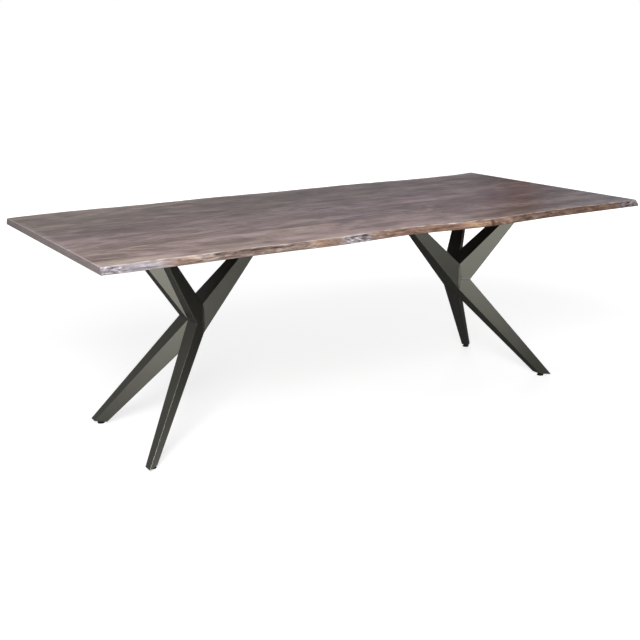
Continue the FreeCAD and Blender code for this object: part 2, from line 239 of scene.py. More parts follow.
def slabWood(name, shift, heart, leftTone, rightTone, tint):
    # varnished board: growth rings, patches, blotches, streaks, dark dashes, fibres and pores, olive stains
    # and a paler margin behind a live edge; the live edge, sawn ends and the arrises, rubbed pale and on the
    # live edges' upper arris also a painted highlight, are told apart by marks on the mesh
    material, sheet = newMaterial(name)
    rings = growthRings(sheet, shift, heart)
    patches = figure(sheet, "patches", shift)
    blotches = figure(sheet, "blotches", shift)
    streaks = figure(sheet, "streaks", shift)
    fibres = figure(sheet, "fibres", shift)
    dashes = smooth(sheet, figure(sheet, "dashes", shift), 0.16, 0.46)
    pores = smooth(sheet, figure(sheet, "pores", shift), 0.3, 0.55)
    clouds = figure(sheet, "clouds", shift)
    along = axes(sheet, coords(sheet))[0]
    # darker towards the right: partly the boards' own tone, partly painted shade where the light falls off
    toneWithShade = leftTone + (rightTone - leftTone) * smooth(sheet, along, -0.5, 0.6)
    value = toneWithShade + 0.1 + patches * 0.48 + blotches * 0.44 + clouds * 0.36 + streaks * 0.3 + fibres * 0.14
    value = value - dashes * 0.3 - pores * 0.1 - rings * 0.2 + mark(sheet, "sapwood") * 0.2
    grain = ramp(sheet, value * 0.8, [
        (0.0, wood["darkGrain"]), (0.27, wood["brown"]), (0.46, wood["midBrown"]), (0.8, wood["paleGrain"]),
        (1.0, wood["palestGrain"])])
    stains = smooth(sheet, figure(sheet, "stains", shift), -0.1, 0.4)
    tinted = mixed(sheet, 1.0, grain, mixed(sheet, stains, tint, wood["olive"]), "MULTIPLY")
    # live edge: shadowed hollows, brown and tan wood and pale flecks, amber or a silvery crackle in places
    live = mark(sheet, "liveEdge")
    relief = mark(sheet, "relief")
    warm = mark(sheet, "amber")
    flecks = figure(sheet, "flecks", shift)
    weather = figure(sheet, "weather", shift)
    # the relief mark brings painted light and shade from the bark's relief, with the wood's own knots and
    # stretches
    level = 0.48 + relief * 0.24 + flecks * (0.5 - warm * 0.26) + weather * 0.5
    bark = ramp(sheet, level, [
        (0.12, wood["barkShadow"]), (0.38, wood["barkBrown"]), (0.6, wood["barkTan"]),
        (0.95, wood["barkPale"])])
    amber = ramp(sheet, level, [(0.15, wood["amberDark"]), (0.55, wood["amber"]), (0.95, wood["amberPale"])])
    crackle = figure(sheet, "crackle", shift) * (0.4 + mark(sheet, "crackle"))
    silver = ramp(sheet, 0.56 + relief * 0.2 + crackle, [
        (0.08, wood["barkShadow"]), (0.36, wood["silverDark"]), (0.66, wood["silver"]),
        (0.95, wood["silverPale"])])
    edge = mixed(sheet, mark(sheet, "silver"), mixed(sheet, warm, bark, amber), silver)
    withEdge = mixed(sheet, live, tinted, edge)
    # sawn ends: the same rings, seen across
    ending = ramp(sheet, 0.72 - rings * 0.4 + flecks * 0.3, [(0.2, wood["endDark"]), (0.8, wood["endGrain"])])
    withEnd = mixed(sheet, mark(sheet, "endFace"), withEdge, ending)
    # pale arrises: rubbed at the sawn ends, rubbed and a painted highlight on the live edges' upper arris
    rub = mark(sheet, "rub") * (0.9 + flecks * 0.5)
    height = streaks * 0.3 + fibres * 0.5 - pores * 0.6 - rings * 0.15
    finishSurface(sheet, {
        "Base Color": mixed(sheet, rub, withEnd, wood["rubbedPaleAndHighlight"]),
        "Roughness": 0.5 + streaks * 0.1 + live * 0.05,
        "Coat Weight": 0.46 + patches * 0.12 + streaks * 0.12 - pores * 0.12 - mark(sheet, "endFace") * 0.3,
        "Coat Roughness": wood["varnishRough"], "Coat IOR": wood["varnishIor"],
        "Specular IOR Level": wood["bareGloss"], "Normal": bumped(sheet, height, 0.35, 0.0004)})
    return material


# Metal, plastic and tongue wood

finish = {
    "coatDark": paint(111, 110, 102), "coatLight": paint(124, 123, 114), "coatWorn": paint(190, 190, 180),
    "coatWear": 0.06,          # how much of the worn colour shows on the folds
    "coatMetal": 0.9, "coatGloss": 0.4,
    "zincDull": paint(146, 146, 142), "zincBright": paint(196, 197, 196),
    "plastic": paint(26, 26, 25), "dust": paint(70, 69, 65), "plasticGloss": 0.4,
    "plyDark": paint(150, 116, 84), "plyPale": paint(200, 170, 132),
}


def powderCoat():
    # satin gunmetal coating with metal flakes: fine orange peel, faint mottling, rubbed lighter on the folds
    material, sheet = newMaterial("powderCoat")
    mottle = evenNoise(sheet, 9, 4, 0.6)
    speck = evenNoise(sheet, 700)
    value = 0.5 + mottle * 0.3 + speck * 0.12
    fresh = ramp(sheet, value, [(0.2, finish["coatDark"]), (0.8, finish["coatLight"])])
    scuffs = smooth(sheet, evenNoise(sheet, 14, 4, 0.7), -0.2, 0.5)
    worn = mark(sheet, "fold") * scuffs * finish["coatWear"]
    peel = evenNoise(sheet, 420, 1)
    finishSurface(sheet, {
        "Base Color": mixed(sheet, worn, fresh, finish["coatWorn"]),
        "Roughness": 0.34 + mottle * 0.06, "Metallic": finish["coatMetal"],
        "Specular IOR Level": finish["coatGloss"], "Normal": bumped(sheet, peel, 0.25, 0.0002)})
    return material


def zincPlate():
    # bright zinc plating with a drawn texture and dull patches
    material, sheet = newMaterial("zincPlate")
    patches = evenNoise(sheet, 160, 4, 0.6)
    drawn = noise(sheet, (900, 900, 90), detail=2)
    value = 0.5 + patches * 0.5
    finishSurface(sheet, {
        "Base Color": ramp(sheet, value, [(0.2, finish["zincDull"]), (0.8, finish["zincBright"])]),
        "Roughness": 0.36 + patches * 0.14, "Metallic": 1.0, "Normal": bumped(sheet, drawn, 0.2, 0.0001)})
    return material


def glidePlastic():
    # moulded black plastic, greyed with dust in places
    material, sheet = newMaterial("glidePlastic")
    grain = evenNoise(sheet, 1100)
    dust = smooth(sheet, evenNoise(sheet, 120, 4, 0.7), 0.0, 0.6)
    finishSurface(sheet, {
        "Base Color": mixed(sheet, dust * 0.5, finish["plastic"], finish["dust"]),
        "Roughness": 0.55 + dust * 0.2, "Specular IOR Level": finish["plasticGloss"],
        "Normal": bumped(sheet, grain, 0.3, 0.0001)})
    return material


def tongueWood():
    # unfinished plywood tongue: pale, with thin layers
    material, sheet = newMaterial("tongueWood")
    layers = noise(sheet, (2, 6, 900), detail=2)
    fibres = noise(sheet, (30, 500, 500))
    value = 0.5 + layers * 0.4 + fibres * 0.3
    finishSurface(sheet, {
        "Base Color": ramp(sheet, value, [(0.2, finish["plyDark"]), (0.8, finish["plyPale"])]),
        "Roughness": 0.7 + fibres * 0.1, "Normal": bumped(sheet, fibres, 0.3, 0.0003)})
    return material


coating = powderCoat()
zinc = zincPlate()
plastic = glidePlastic()
plywood = tongueWood()
print("materials: coating, zinc, plastic and tongue wood")


# Mesh helpers

def ringFaces(rows, columns, start=0):
    # quads between neighbouring rings of points, each ring closed on itself, and one face at each end
    ring = np.arange(columns)
    ahead = np.roll(ring, -1)
    first = start + np.arange(rows - 1)[:, None] * columns
    quads = np.stack([first + ring, first + ahead, first + columns + ahead, first + columns + ring], -1)
    ends = [(start + ring).tolist(), (start + (rows - 1) * columns + ring[::-1]).tolist()]
    return quads.reshape(-1, 4).tolist() + ends


def addPiece(name, rings, material, body, nodes=(), marks=None, crisp=35):
    # one piece from a list of ring grids, each of rows x columns x 3; marks are numbers at its points,
    # and edges that turn by more than crisp degrees are shaded sharp
    points, faces, ends, start = [], [], [], 0
    for grid in rings:
        rows, columns = grid.shape[:2]
        made = ringFaces(rows, columns, start)
        ends += [0.0] * (len(made) - 2) + [1.0, 1.0]
        faces += made
        points.append(grid.reshape(-1, 3))
        start += rows * columns
    points = np.concatenate(points)
    mesh = bpy.data.meshes.new(name)
    mesh.from_pydata(points.tolist(), [], faces)
    mesh.polygons.foreach_set("use_smooth", np.ones(len(faces), bool))
    for key, values in (marks or {}).items():
        layer = mesh.attributes.new(key, "FLOAT", "POINT")
        shape = rings[0].shape[:2] if np.ndim(values) else len(points)
        layer.data.foreach_set("value", np.broadcast_to(values, shape).astype(np.float32).ravel())
    layer = mesh.attributes.new("endFace", "FLOAT", "FACE")
    layer.data.foreach_set("value", np.array(ends, np.float32))
    solid = bmesh.new()
    solid.from_mesh(mesh)
    bmesh.ops.recalc_face_normals(solid, faces=solid.faces)
    solid.to_mesh(mesh)
    solid.free()
    mesh.set_sharp_from_angle(angle=math.radians(crisp))
    mesh.materials.append(material)
    piece = bpy.data.objects.new(name, mesh)
    bpy.context.scene.collection.objects.link(piece)
    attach(piece, body)
    if nodes:
        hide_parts(*nodes)


def lattice(u, v, seed):
    # smooth random heights between -1 and 1: random values on whole-number places, eased from one to the next
    table = np.random.default_rng(seed).uniform(-1, 1, (256, 256))
    u, v = np.broadcast_arrays(u, v)
    column = np.floor(u).astype(int)
    row = np.floor(v).astype(int)
    a = u - column
    b = v - row
    a = a * a * (3 - 2 * a)
    b = b * b * (3 - 2 * b)
    near = table[column % 256, row % 256] * (1 - a) + table[(column + 1) % 256, row % 256] * a
    far = table[column % 256, (row + 1) % 256] * (1 - a) + table[(column + 1) % 256, (row + 1) % 256] * a
    return near * (1 - b) + far * b


# Slab boards

slab = {
    "step": 0.0026,            # between stations along a live-edge board
    "innerStep": 0.02,         # and along an inner board
    "endRound": 0.0025,        # rounding of the sawn ends' upper edge
    "endRub": 0.62,            # how pale that rounding is rubbed
    "rubAlong": 0.0022,        # reach of the rub along the top
    "rubDown": 0.0026,         # and down the end
    # the pale of the upper arris is a rub and a painted highlight together
    "arrisRubAndHighlight": 0.78,          # how pale the upper arris of a live edge is rubbed
    "seamBevel": 0.0003,       # tiny bevel each side of a glue line
    "upperRound": 0.0024,      # sanded upper arris of a live edge, where it is not worn
    "upperWear": 0.0042,       # how much more it is rounded where it is worn most
    "lowerRound": 0.0014,
    "bulge": 0.004,            # swell of a live edge between its lower and upper lines
    "wave": 0.0012,            # long unevenness of a live edge
    "ridge": 0.0016,           # ridges left by the bark
    "crack": 0.0006,           # fine cracks
    "chip": 0.0042,            # unevenness of the upper arris
    "ledge": 0.0018,           # hollow under the upper arris
    "ledgeUp": 0.78, "ledgeSpan": 0.07,    # its height and half width, as shares of the thickness
    # kinds of bark: length of a feature along the edge, how many lie above each other, number of the draw
    "waves": (0.09, 1.3, 1), "ridges": (0.05, 4.2, 2), "cracks": (0.011, 9, 3),
    # kinds of unevenness along an edge alone: length of a feature, number of the draw
    "roughness": (0.21, 0), "chips": (0.046, 4), "nicks": (0.015, 5), "rubs": (0.024, 6),
    "ledges": (0.07, 7), "wear": (0.05, 8), "scuffs": (0.019, 9), "hollows": (0.02, 10),
    # the top is paler over a margin behind a live edge
    "sapwood": 0.055,          # reach of the paler wood behind a live edge
    "edgeFrom": 0.4,           # live edges lie further than this from the centre line
    "edgePoints": 34, "arcPoints": 6,
    "inwards": (0.03, 0.08, 0.14, 0.21, 0.3, 0.55, 0.995, 1.0),    # points from live edge to glue line
}
topLow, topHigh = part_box("middle_board")
underside, topHeight, halfLength = topLow.z, topHigh.z, topHigh.x
thick = topHeight - underside


def alongStations(step):
    # evenly spaced places along the table, with more of them on the rounding of each end
    flatEnd = halfLength - slab["endRound"]
    inner = np.linspace(-flatEnd, flatEnd, int(2 * halfLength / step))
    turn = slab["endRound"] * (1 - np.cos(np.linspace(0, math.pi / 2, 5)[:-1]))
    return np.concatenate([-halfLength + turn, inner, (halfLength - turn)[::-1]])


def roundedEnds(x, z):
    # upper surface drawn down by a quarter circle where it reaches a sawn end
    gap = np.clip(slab["endRound"] - (halfLength - np.abs(x)), 0, slab["endRound"])
    drop = slab["endRound"] - np.sqrt(slab["endRound"] ** 2 - gap ** 2)
    return np.minimum(z, topHeight - drop)


def endRub(x, z):
    # highest on the rounding of a sawn end, fading over the few millimetres around it; none on the end itself
    fromEnd = halfLength - np.abs(x)
    fromTop = topHeight - z
    fade = np.exp(-((fromEnd / slab["rubAlong"]) ** 2)) * np.exp(-((fromTop / slab["rubDown"]) ** 2))
    return np.where(fromEnd > 1e-6, slab["endRub"] * fade, 0)


def edgeLine(node, z):
    # places along a live edge and its distance from the centre line, read from the frame at one height
    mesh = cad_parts[node].data
    spots = np.empty(len(mesh.vertices) * 3, np.float32)
    mesh.vertices.foreach_get("co", spots)
    spots = spots.reshape(-1, 3)
    outer = spots[(np.abs(spots[:, 2] - z) < 0.0002) & (np.abs(spots[:, 1]) > slab["edgeFrom"])]
    outer = outer[np.argsort(outer[:, 0])]
    return outer[:, 0], np.abs(outer[:, 1])


def innerBoard(name, node, material):
    # rectangle with tiny bevels at its two upper edges, carried along the table
    low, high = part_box(node)
    bevel = slab["seamBevel"]
    y = np.array([low.y, high.y, high.y, high.y - bevel, low.y + bevel, low.y])
    z = np.array([underside, underside, topHeight - bevel, topHeight, topHeight, topHeight - bevel])
    x = alongStations(slab["innerStep"])[:, None]
    grid = np.stack(np.broadcast_arrays(x, y, roundedEnds(x, z)), -1)
    addPiece(name, [grid], material, "table", [node], {"rub": endRub(x, grid[..., 2])})


def stretches(x, spots):
    # amount at the middle of each stretch of the edge, fading over its reach: (middle, reach, amount)
    cover = np.zeros_like(x)
    for middle, reach, amount in spots:
        cover = cover + amount * np.exp(-(((x - middle) / reach) ** 4))
    return cover


def edgeNoise(x, kind, seed):
    # random height along the edge alone, eased over each length of its kind
    length, draw = slab[kind]
    return lattice(x / length, seed + 0.5, seed + draw)


def barkNoise(x, up, kind, seed, warp=0):
    # random height over the outer face, shifted along it by warp
    length, above, draw = slab[kind]
    return lattice(x / length + warp, up * above, seed + draw)


def barkRelief(x, up, spots, seed):
    # how far each point of the outer face stands out, and how light it is, paler where it stands out and
    # darker where it sinks in as painted light and shade: long waves, ridges along the grain and fine cracks,
    # rougher in some stretches; an uneven upper arris; under it a hollow line with painted shadow, deep and
    # wide in some stretches and broken between them
    rough = np.clip(0.55 + 0.9 * edgeNoise(x, "roughness", seed), 0.12, 1)
    rough = rough + 0.4 * stretches(x, spots["crackle"])
    waves = barkNoise(x, up, "waves", seed)
    ridges = 1 - 2 * np.abs(barkNoise(x, up, "ridges", seed, 0.7 * waves)) - 0.4
    cracks = barkNoise(x, up, "cracks", seed)
    bark = slab["wave"] * waves + rough * (slab["ridge"] * ridges + slab["crack"] * cracks)
    chips = edgeNoise(x, "chips", seed) + 0.55 * rough * edgeNoise(x, "nicks", seed) - 0.6
    hollow = stretches(x, spots["hollow"]) * (0.8 + 0.4 * edgeNoise(x, "hollows", seed))
    above = up - slab["ledgeUp"] + 0.07 * hollow + 0.06 * waves
    ledge = np.exp(-((above / (slab["ledgeSpan"] + 0.12 * hollow)) ** 2))
    ledge = ledge * np.clip(hollow + 0.4 * edgeNoise(x, "ledges", seed), 0, 1)
    fade = np.sin(up * math.pi) ** 0.5
    out = bark * (0.35 + 0.65 * fade) + slab["chip"] * chips * up ** 3 - slab["ledge"] * ledge
    knots = stretches(x, spots["knots"]) * np.exp(-(((up - 0.5) / 0.4) ** 4))
    # painted light on ridges and painted shade in cracks and under the arris, with dark knots and the wood's
    # own lighter and darker stretches
    light = ridges * 0.8 + cracks * 0.6 - 1.6 * ledge - knots + stretches(x, spots["shade"])
    return out, light


def liveBoard(name, node, material, seed, spots):
    # ring of a flat underside, a wavy outer face with rounded arrises, the top and the glued face, carried
    # along the table
    low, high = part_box(node)
    outward = 1 if high.y > slab["edgeFrom"] else -1
    inner = min(abs(low.y), abs(high.y))
    x = alongStations(slab["step"])[:, None]
    wear = edgeNoise(x, "wear", seed) + 0.6 * edgeNoise(x, "scuffs", seed)
    arrisRound = slab["upperRound"] + slab["upperWear"] * np.clip(wear, 0, 1)
    lowest = slab["lowerRound"] / thick
    up = lowest + (1 - arrisRound / thick - lowest) * np.linspace(0, 1, slab["edgePoints"])
    # outer face: the curve through the lower, middle and upper lines, with the bark on it
    lower = np.interp(x, *edgeLine(node, underside))
    upper = np.interp(x, *edgeLine(node, topHeight))
    middle = (lower + upper) / 2 + slab["bulge"]
    face = lower * (1 - up) * (1 - 2 * up) + middle * 4 * up * (1 - up) + upper * up * (2 * up - 1)
    out, light = barkRelief(x, up, spots, seed)
    face = face + out
    # rounded arrises at both ends of the face
    turn = np.linspace(0, math.pi / 2, slab["arcPoints"])
    upperY = face[:, -1:] - arrisRound * (1 - np.cos(turn))
    upperZ = topHeight - arrisRound * (1 - np.sin(turn))
    lowerY = face[:, :1] - slab["lowerRound"] * (1 - np.sin(turn))
    lowerZ = underside + slab["lowerRound"] * (1 - np.cos(turn))
    bevel = slab["seamBevel"]
    inwards = np.array(slab["inwards"])
    topY = upperY[:, -1:] * (1 - inwards) + (inner + bevel) * inwards
    underY = lowerY[:, :1] * (1 - inwards[::-1]) + inner * inwards[::-1]
    # parts of the ring: y, z, how much they belong to the live edge, how light they are with painted light
    # and shade, how far rubbed with a painted highlight
    arc = slab["arcPoints"] - 1
    parts = [
        (underY, underside, 0, 0, 0),
        (lowerY[:, :-1], lowerZ[:-1], np.linspace(0.3, 0.9, arc), 0, 0),
        (face, underside + up * thick, 1, light, 0),
        (upperY[:, 1:], upperZ[:, 1:], np.linspace(0.9, 0.15, arc), 0, np.sin(np.linspace(0.2, 2.6, arc))),
        (topY, topHeight, 0, 0, 0),
        (np.full_like(x, inner), topHeight - bevel, 0, 0, 0),
    ]
    columns = zip(*[[np.broadcast_to(item, part[0].shape) for item in part] for part in parts])
    y, z, live, relief, arris = (np.concatenate(column, 1) for column in columns)
    z = roundedEnds(x, z)
    grid = np.stack(np.broadcast_arrays(x, outward * y, z), -1)
    # painted highlight and rub of the upper arris: dimmer in darker stretches, stronger in pale ones
    dark = np.minimum(stretches(x, spots["shade"]), 0)
    arris = arris * slab["arrisRubAndHighlight"] * (1 + 0.7 * dark + stretches(x, spots["pale"]))
    arris = arris * np.clip(0.75 + 0.9 * edgeNoise(x, "rubs", seed), 0.15, 1)
    marks = {
        "liveEdge": live, "relief": relief, "silver": stretches(x, spots["silver"]),
        "crackle": stretches(x, spots["crackle"]), "amber": stretches(x, spots["amber"]),
        "rub": np.maximum(endRub(x, z), arris),
        "sapwood": np.exp(-(((upper - y) / slab["sapwood"]) ** 2)) * (1 - live),
    }
    addPiece(name, [grid], material, "table", [node], marks, 50)


boards = {
    # board: node, shift of its figure, its log's heart, tone at the left and the right, the right darker
    # partly as painted shade, tint between stains
    "frontLiveBoard": (
        "front_live_edge_board", (3.1, 0.2, 1.0), (-0.30, 0.62, 0.05), 0.76, 0.52, paint(252, 241, 240)),
    "frontInnerBoard": (
        "front_inner_board", (7.7, 5.2, 2.0), (-0.17, 0.64, -0.04), 0.59, 0.50, paint(250, 240, 245)),
    "middleBoard": (
        "middle_board", (1.9, 11.4, 3.0), (0.05, 0.66, 0.045), 0.53, 0.53, paint(248, 240, 246)),
    "rearInnerBoard": (
        "rear_inner_board", (9.3, 17.6, 4.0), (0.23, 0.63, -0.05), 0.46, 0.42, paint(247, 246, 238)),
    "rearLiveBoard": (
        "rear_live_edge_board", (5.5, 23.8, 5.0), (0.36, 0.64, 0.04), 0.49, 0.39, paint(250, 246, 236)),
}
edgeStretches = {
    # of each live edge: silvery, crackled and amber stretches, dark knots, hollows under the arris with
    # painted shadow in them, lighter and darker stretches, and where the arris's rub and painted highlight
    # are paler
    "frontLiveBoard": {
        "silver": [(-1.04, 0.14, 1), (-0.23, 0.055, 0.9), (1.05, 0.05, 0.6)],
        "crackle": [(-1.07, 0.035, 0.8), (-0.23, 0.06, 1.5), (1.05, 0.05, 1.2)],
        "amber": [
            (0.2, 0.28, 1), (-0.1, 0.07, 0.35), (0.78, 0.27, 0.8), (-0.365, 0.035, 0.7), (-0.85, 0.05, 0.5)],
        "knots": [(0.337, 0.008, 3.0)],
        "hollow": [
            (-0.55, 0.075, 1), (-0.43, 0.03, 0.9), (-0.22, 0.055, 0.8), (0.33, 0.05, 0.4), (0.75, 0.2, 0.3)],
        "shade": [
            (-0.34, 0.07, -0.3), (-0.1, 0.06, 1.1), (0.265, 0.07, 1.2), (0.41, 0.03, 0.6),
            (0.49, 0.055, -0.6), (0.78, 0.27, -0.45), (1.05, 0.05, -0.5)],
        "pale": [(0.1, 0.19, 0.4)],
    },
    "rearLiveBoard": {
        "silver": [(-0.7, 0.06, 1), (0.35, 0.08, 1)],
        "crackle": [(-0.7, 0.04, 0.6), (0.35, 0.06, 0.8)],
        "amber": [(-0.2, 0.2, 1), (0.8, 0.1, 1)],
        "knots": [(-0.45, 0.015, 2.2)],
        "hollow": [(-0.85, 0.06, 0.9), (-0.1, 0.09, 0.8), (0.55, 0.05, 1)],
        "shade": [(-0.9, 0.1, -0.4), (0.6, 0.08, 0.5)],
        "pale": [(0.1, 0.2, 0.3)],
    },
}
for number, (name, (node, *look)) in enumerate(boards.items()):
    material = slabWood("slabWood" + name[0].upper() + name[1:], *look)
    if name in edgeStretches:
        liveBoard(name, node, material, 11 + 20 * number, edgeStretches[name])
    else:
        innerBoard(name, node, material)
print("slab: five boards, two of them with live edges")


# Branching bases

base = {
    "hubX": 0.620, "hubZ": 0.417,                # outer notch, where arm and leg meet
    "creaseX": 0.583, "creaseY": 0.050,          # upright inner corners, where the inner arm starts
    "creaseLow": 0.373, "creaseHigh": 0.481,
    "mitreX": 0.599,                             # line where all five tubes meet
    "tipX": 0.906, "tipNear": 0.244, "tipFar": 0.283,
    "footRun": 0.039, "footZ": 0.010, "footTop": 0.015,
    "soleBevel": 0.0009, "soleShare": 0.965,     # height of the foot plate's bevel, and how far it draws in
    "armX": 0.789, "armRun": 0.027, "armTop": 0.731,
    "innerX": 0.290, "innerRun": 0.040, "innerSpan": 0.034,
    "foldRound": 0.0017,                         # outer radius of the folded sheet
    "arcPoints": 5, "flatPoints": 39, "rings": 12,
}
# where the tubes' outer and inner sides end, along the table
footInner = base["tipX"] - base["footRun"]
armOuter = base["armX"] + base["armRun"] / 2
armInner = base["armX"] - base["armRun"] / 2
innerNear = base["innerX"] + base["innerRun"] / 2
innerFar = base["innerX"] - base["innerRun"] / 2


def between(value, start, end, first, second):
    # straight line: first where value is start, second where it is end
    return first + (second - first) * (value - start) / (end - start)


def nearY(x):
    # edge of a leg and its arm that is nearer to the table's middle plane, in plan
    return between(x, base["hubX"], base["tipX"], 0.0, base["tipNear"])


def farY(x):
    # the edge that is further from it
    return between(x, base["creaseX"], base["tipX"], base["creaseY"], base["tipFar"])


def roundedQuad(corners):
    # four-cornered section with its corners rounded; also marks 1 on the roundings and 0 on the flats
    corners = np.array(corners)
    back = np.roll(corners, 1, 0) - corners
    ahead = np.roll(corners, -1, 0) - corners
    back = back / np.linalg.norm(back, axis=1, keepdims=True)
    ahead = ahead / np.linalg.norm(ahead, axis=1, keepdims=True)
    angle = np.arccos(np.sum(back * ahead, 1, keepdims=True))
    reach = base["foldRound"] / np.tan(angle / 2)
    bisector = (back + ahead) / np.linalg.norm(back + ahead, axis=1, keepdims=True)
    centre = corners + bisector * base["foldRound"] / np.sin(angle / 2)
    start = corners + back * reach - centre
    end = corners + ahead * reach - centre
    sweep = (math.pi - angle)[:, :, None]
    share = np.linspace(0, 1, base["arcPoints"])[None, :, None]
    arc = np.sin((1 - share) * sweep) * start[:, None] + np.sin(share * sweep) * end[:, None]
    arc = arc / np.sin(sweep) + centre[:, None]
    share = np.linspace(0, 1, base["flatPoints"] + 2)[None, 1:-1, None]
    flat = arc[:, -1:] * (1 - share) + np.roll(arc[:, :1], -1, 0) * share
    section = np.concatenate([arc, flat], 1).reshape(-1, 2)
    folds = np.concatenate([np.ones((4, base["arcPoints"])), np.zeros((4, base["flatPoints"]))], 1)
    return section, folds.ravel()


def levelSection(z, outer, inner):
    # section of a leg or outer arm at one height: outer and inner are its side lines, as x at that height
    corners = [(outer, nearY(outer)), (outer, farY(outer)), (inner, farY(inner)), (inner, nearY(inner))]
    section, folds = roundedQuad(corners)
    return np.column_stack([section, np.full(len(section), z)]), folds


def carried(start, end, share):
    # straight lines from the points of start to those of end, each ending at its own share of the way
    steps = np.linspace(0, 1, base["rings"])[:, None, None]
    return start + (end - start) * steps * share[None, :, None]


def mitred(start, end):
    # share of each line at which it meets the next tube of the junction, at the middle plane or at the inner
    # arm's mitre
    def mitreGap(points):
        return ((points[:, 0] - base["creaseX"]) * base["creaseY"]
                + (points[:, 1] - base["creaseY"]) * (base["mitreX"] - base["creaseX"]))
    share = np.ones(len(start))
    for first, last in ((start[:, 1], end[:, 1]), (mitreGap(start), mitreGap(end))):
        meets = last < 0
        share[meets] = np.minimum(share[meets], (first / np.where(meets, first - last, 1))[meets])
    return share


def legLines(z):
    # outer and inner side line of a leg, as x at one height
    outer = between(z, base["hubZ"], base["footZ"], base["hubX"], base["tipX"])
    inner = between(z, base["creaseLow"], base["footZ"], base["creaseX"], footInner)
    return outer, inner


def armLines(z):
    # the same two lines of an outer arm
    outer = between(z, base["hubZ"], base["armTop"], base["hubX"], armOuter)
    inner = between(z, base["creaseHigh"], base["armTop"], base["creaseX"], armInner)
    return outer, inner


def taperedTube(endZ, lines):
    # section at the tube's free end, carried to the section at the hub and cut at the mitres
    start, folds = levelSection(endZ, *lines(endZ))
    end = levelSection(base["hubZ"], *lines(base["hubZ"]))[0]
    return carried(start, end, mitred(start, end)), folds


def innerTube():
    # upright sections along the table, rising to the plate, and a pointed end that fills the mitre
    highEnd = between(innerFar, base["creaseX"], innerNear, base["creaseHigh"], base["armTop"])
    sections = []
    for x, halfSpan, low, high in (
            (base["creaseX"], base["creaseY"], base["creaseLow"], base["creaseHigh"]),
            (innerFar, base["innerSpan"] / 2, base["armTop"], highEnd)):
        corners = [(-halfSpan, low), (halfSpan, low), (halfSpan, high), (-halfSpan, high)]
        section, folds = roundedQuad(corners)
        sections.append(np.column_stack([np.full(len(section), x), section]))
    start, end = sections
    share = np.minimum(1, (base["armTop"] - start[:, 2]) / (end[:, 2] - start[:, 2]))
    tube = carried(start, end, share)
    step = (base["mitreX"] - base["creaseX"]) * (1 - np.abs(start[:, 1]) / base["creaseY"])
    legFall = (base["creaseLow"] - base["footZ"]) / (footInner - base["creaseX"])
    armRise = (base["armTop"] - base["creaseHigh"]) / (armInner - base["creaseX"])
    isLow = start[:, 2] < (base["creaseLow"] + base["creaseHigh"]) / 2
    point = start + np.column_stack([step, np.zeros(len(step)), step * np.where(isLow, -legFall, armRise)])
    return np.concatenate([point[None], tube]), folds


def footSole():
    # closing plate of a leg: the leg's own section, with a small bevel round its lower edge
    low = base["footZ"]
    levels = [(low, base["soleShare"]), (low + base["soleBevel"], 1.0), (base["footTop"], 1.0)]
    rings = []
    for z, share in levels:
        ring, folds = levelSection(z, *legLines(z))
        centre = ring.mean(0) * (1, 1, 0) + (0, 0, z)
        rings.append(centre + (ring - centre) * (share, share, 1))
    return np.array(rings), folds


sides = {"left": -1, "right": 1}
rows = {"front": -1, "rear": 1}
innerShape, innerFolds = innerTube()
outerShapes = {
    # piece: end of its node's name, shape and folds
    "Leg": ("_leg", *taperedTube(base["footTop"], legLines)),
    "Arm": ("_arm", *taperedTube(base["armTop"], armLines)),
    "FootPlate": ("_foot_plate", *footSole()),
}
for side, signX in sides.items():
    addPiece(side + "InnerArm", [innerShape * (signX, 1, 1)], coating, "table",
             [side + "_inner_arm"], {"fold": innerFolds})
    for row, signY in rows.items():
        where = side + row.capitalize()
        for word, (ending, shape, folds) in outerShapes.items():
            addPiece(where + word, [shape * (signX, signY, 1)], coating, "table",
                     [side + "_" + row + ending], {"fold": folds})
print("bases: ten tapered tubes and four foot plates")


# Weld beads of the junctions

weld = {
    "filletReach": 0.005,      # legs of the fillets in the upright corners
    "filletBelly": 0.42,       # how far a fillet's middle stands out, as a share of its legs
    "filletEnds": 0.008,       # how far it stops short of the corner's ends
    "seamReach": 0.0022,       # half width of the seams, which are ground nearly flush
    "seamCrown": 0.0009,
    "notchReach": 0.004,       # legs of the fillet in the outer notch
    "notchBelly": 0.375,
    "notchEnds": 0.002,
    "step": 0.0008, "points": 7,
    "ripple": 0.0032, "rippleDepth": 0.22,
    "uneven": 0.12, "unevenLength": 0.007,
    "taper": 0.008, "endShare": 0.15,    # length over which a bead thins out, and what is left at its end
    "root": 0.6,               # how deep it goes into the joint
}


def bead(start, end, first, second, crown, seed):
    # bead between two faces: a curve from start + first to start + second, drawn towards crown, carried to
    # end and swelling and sinking in even ripples
    length = np.linalg.norm(end - start)
    steps = np.linspace(0, 1, max(8, int(length / weld["step"])))[:, None, None]
    swell = 1 + weld["rippleDepth"] * np.sin(2 * math.pi * steps * length / weld["ripple"])
    swell = swell + weld["uneven"] * lattice(steps * length / weld["unevenLength"], seed + 0.5, seed)
    fromEnd = np.minimum(steps, 1 - steps) * length
    taper = weld["endShare"] + (1 - weld["endShare"]) * np.sqrt(np.clip(fromEnd / weld["taper"], 0, 1))
    share = np.linspace(0, 1, weld["points"])[None, :, None]
    curve = (1 - share) ** 2 * first + 2 * share * (1 - share) * crown * swell + share ** 2 * second
    root = np.broadcast_to(-weld["root"] * (first + second + crown) / 2, (len(steps), 1, 3))
    section = np.concatenate([curve, root], 1) * taper
    return start + (end - start) * steps + section


def unit(x, y, z):
    # direction of x, y and z, of length one
    return np.array([x, y, z]) / np.linalg.norm([x, y, z])


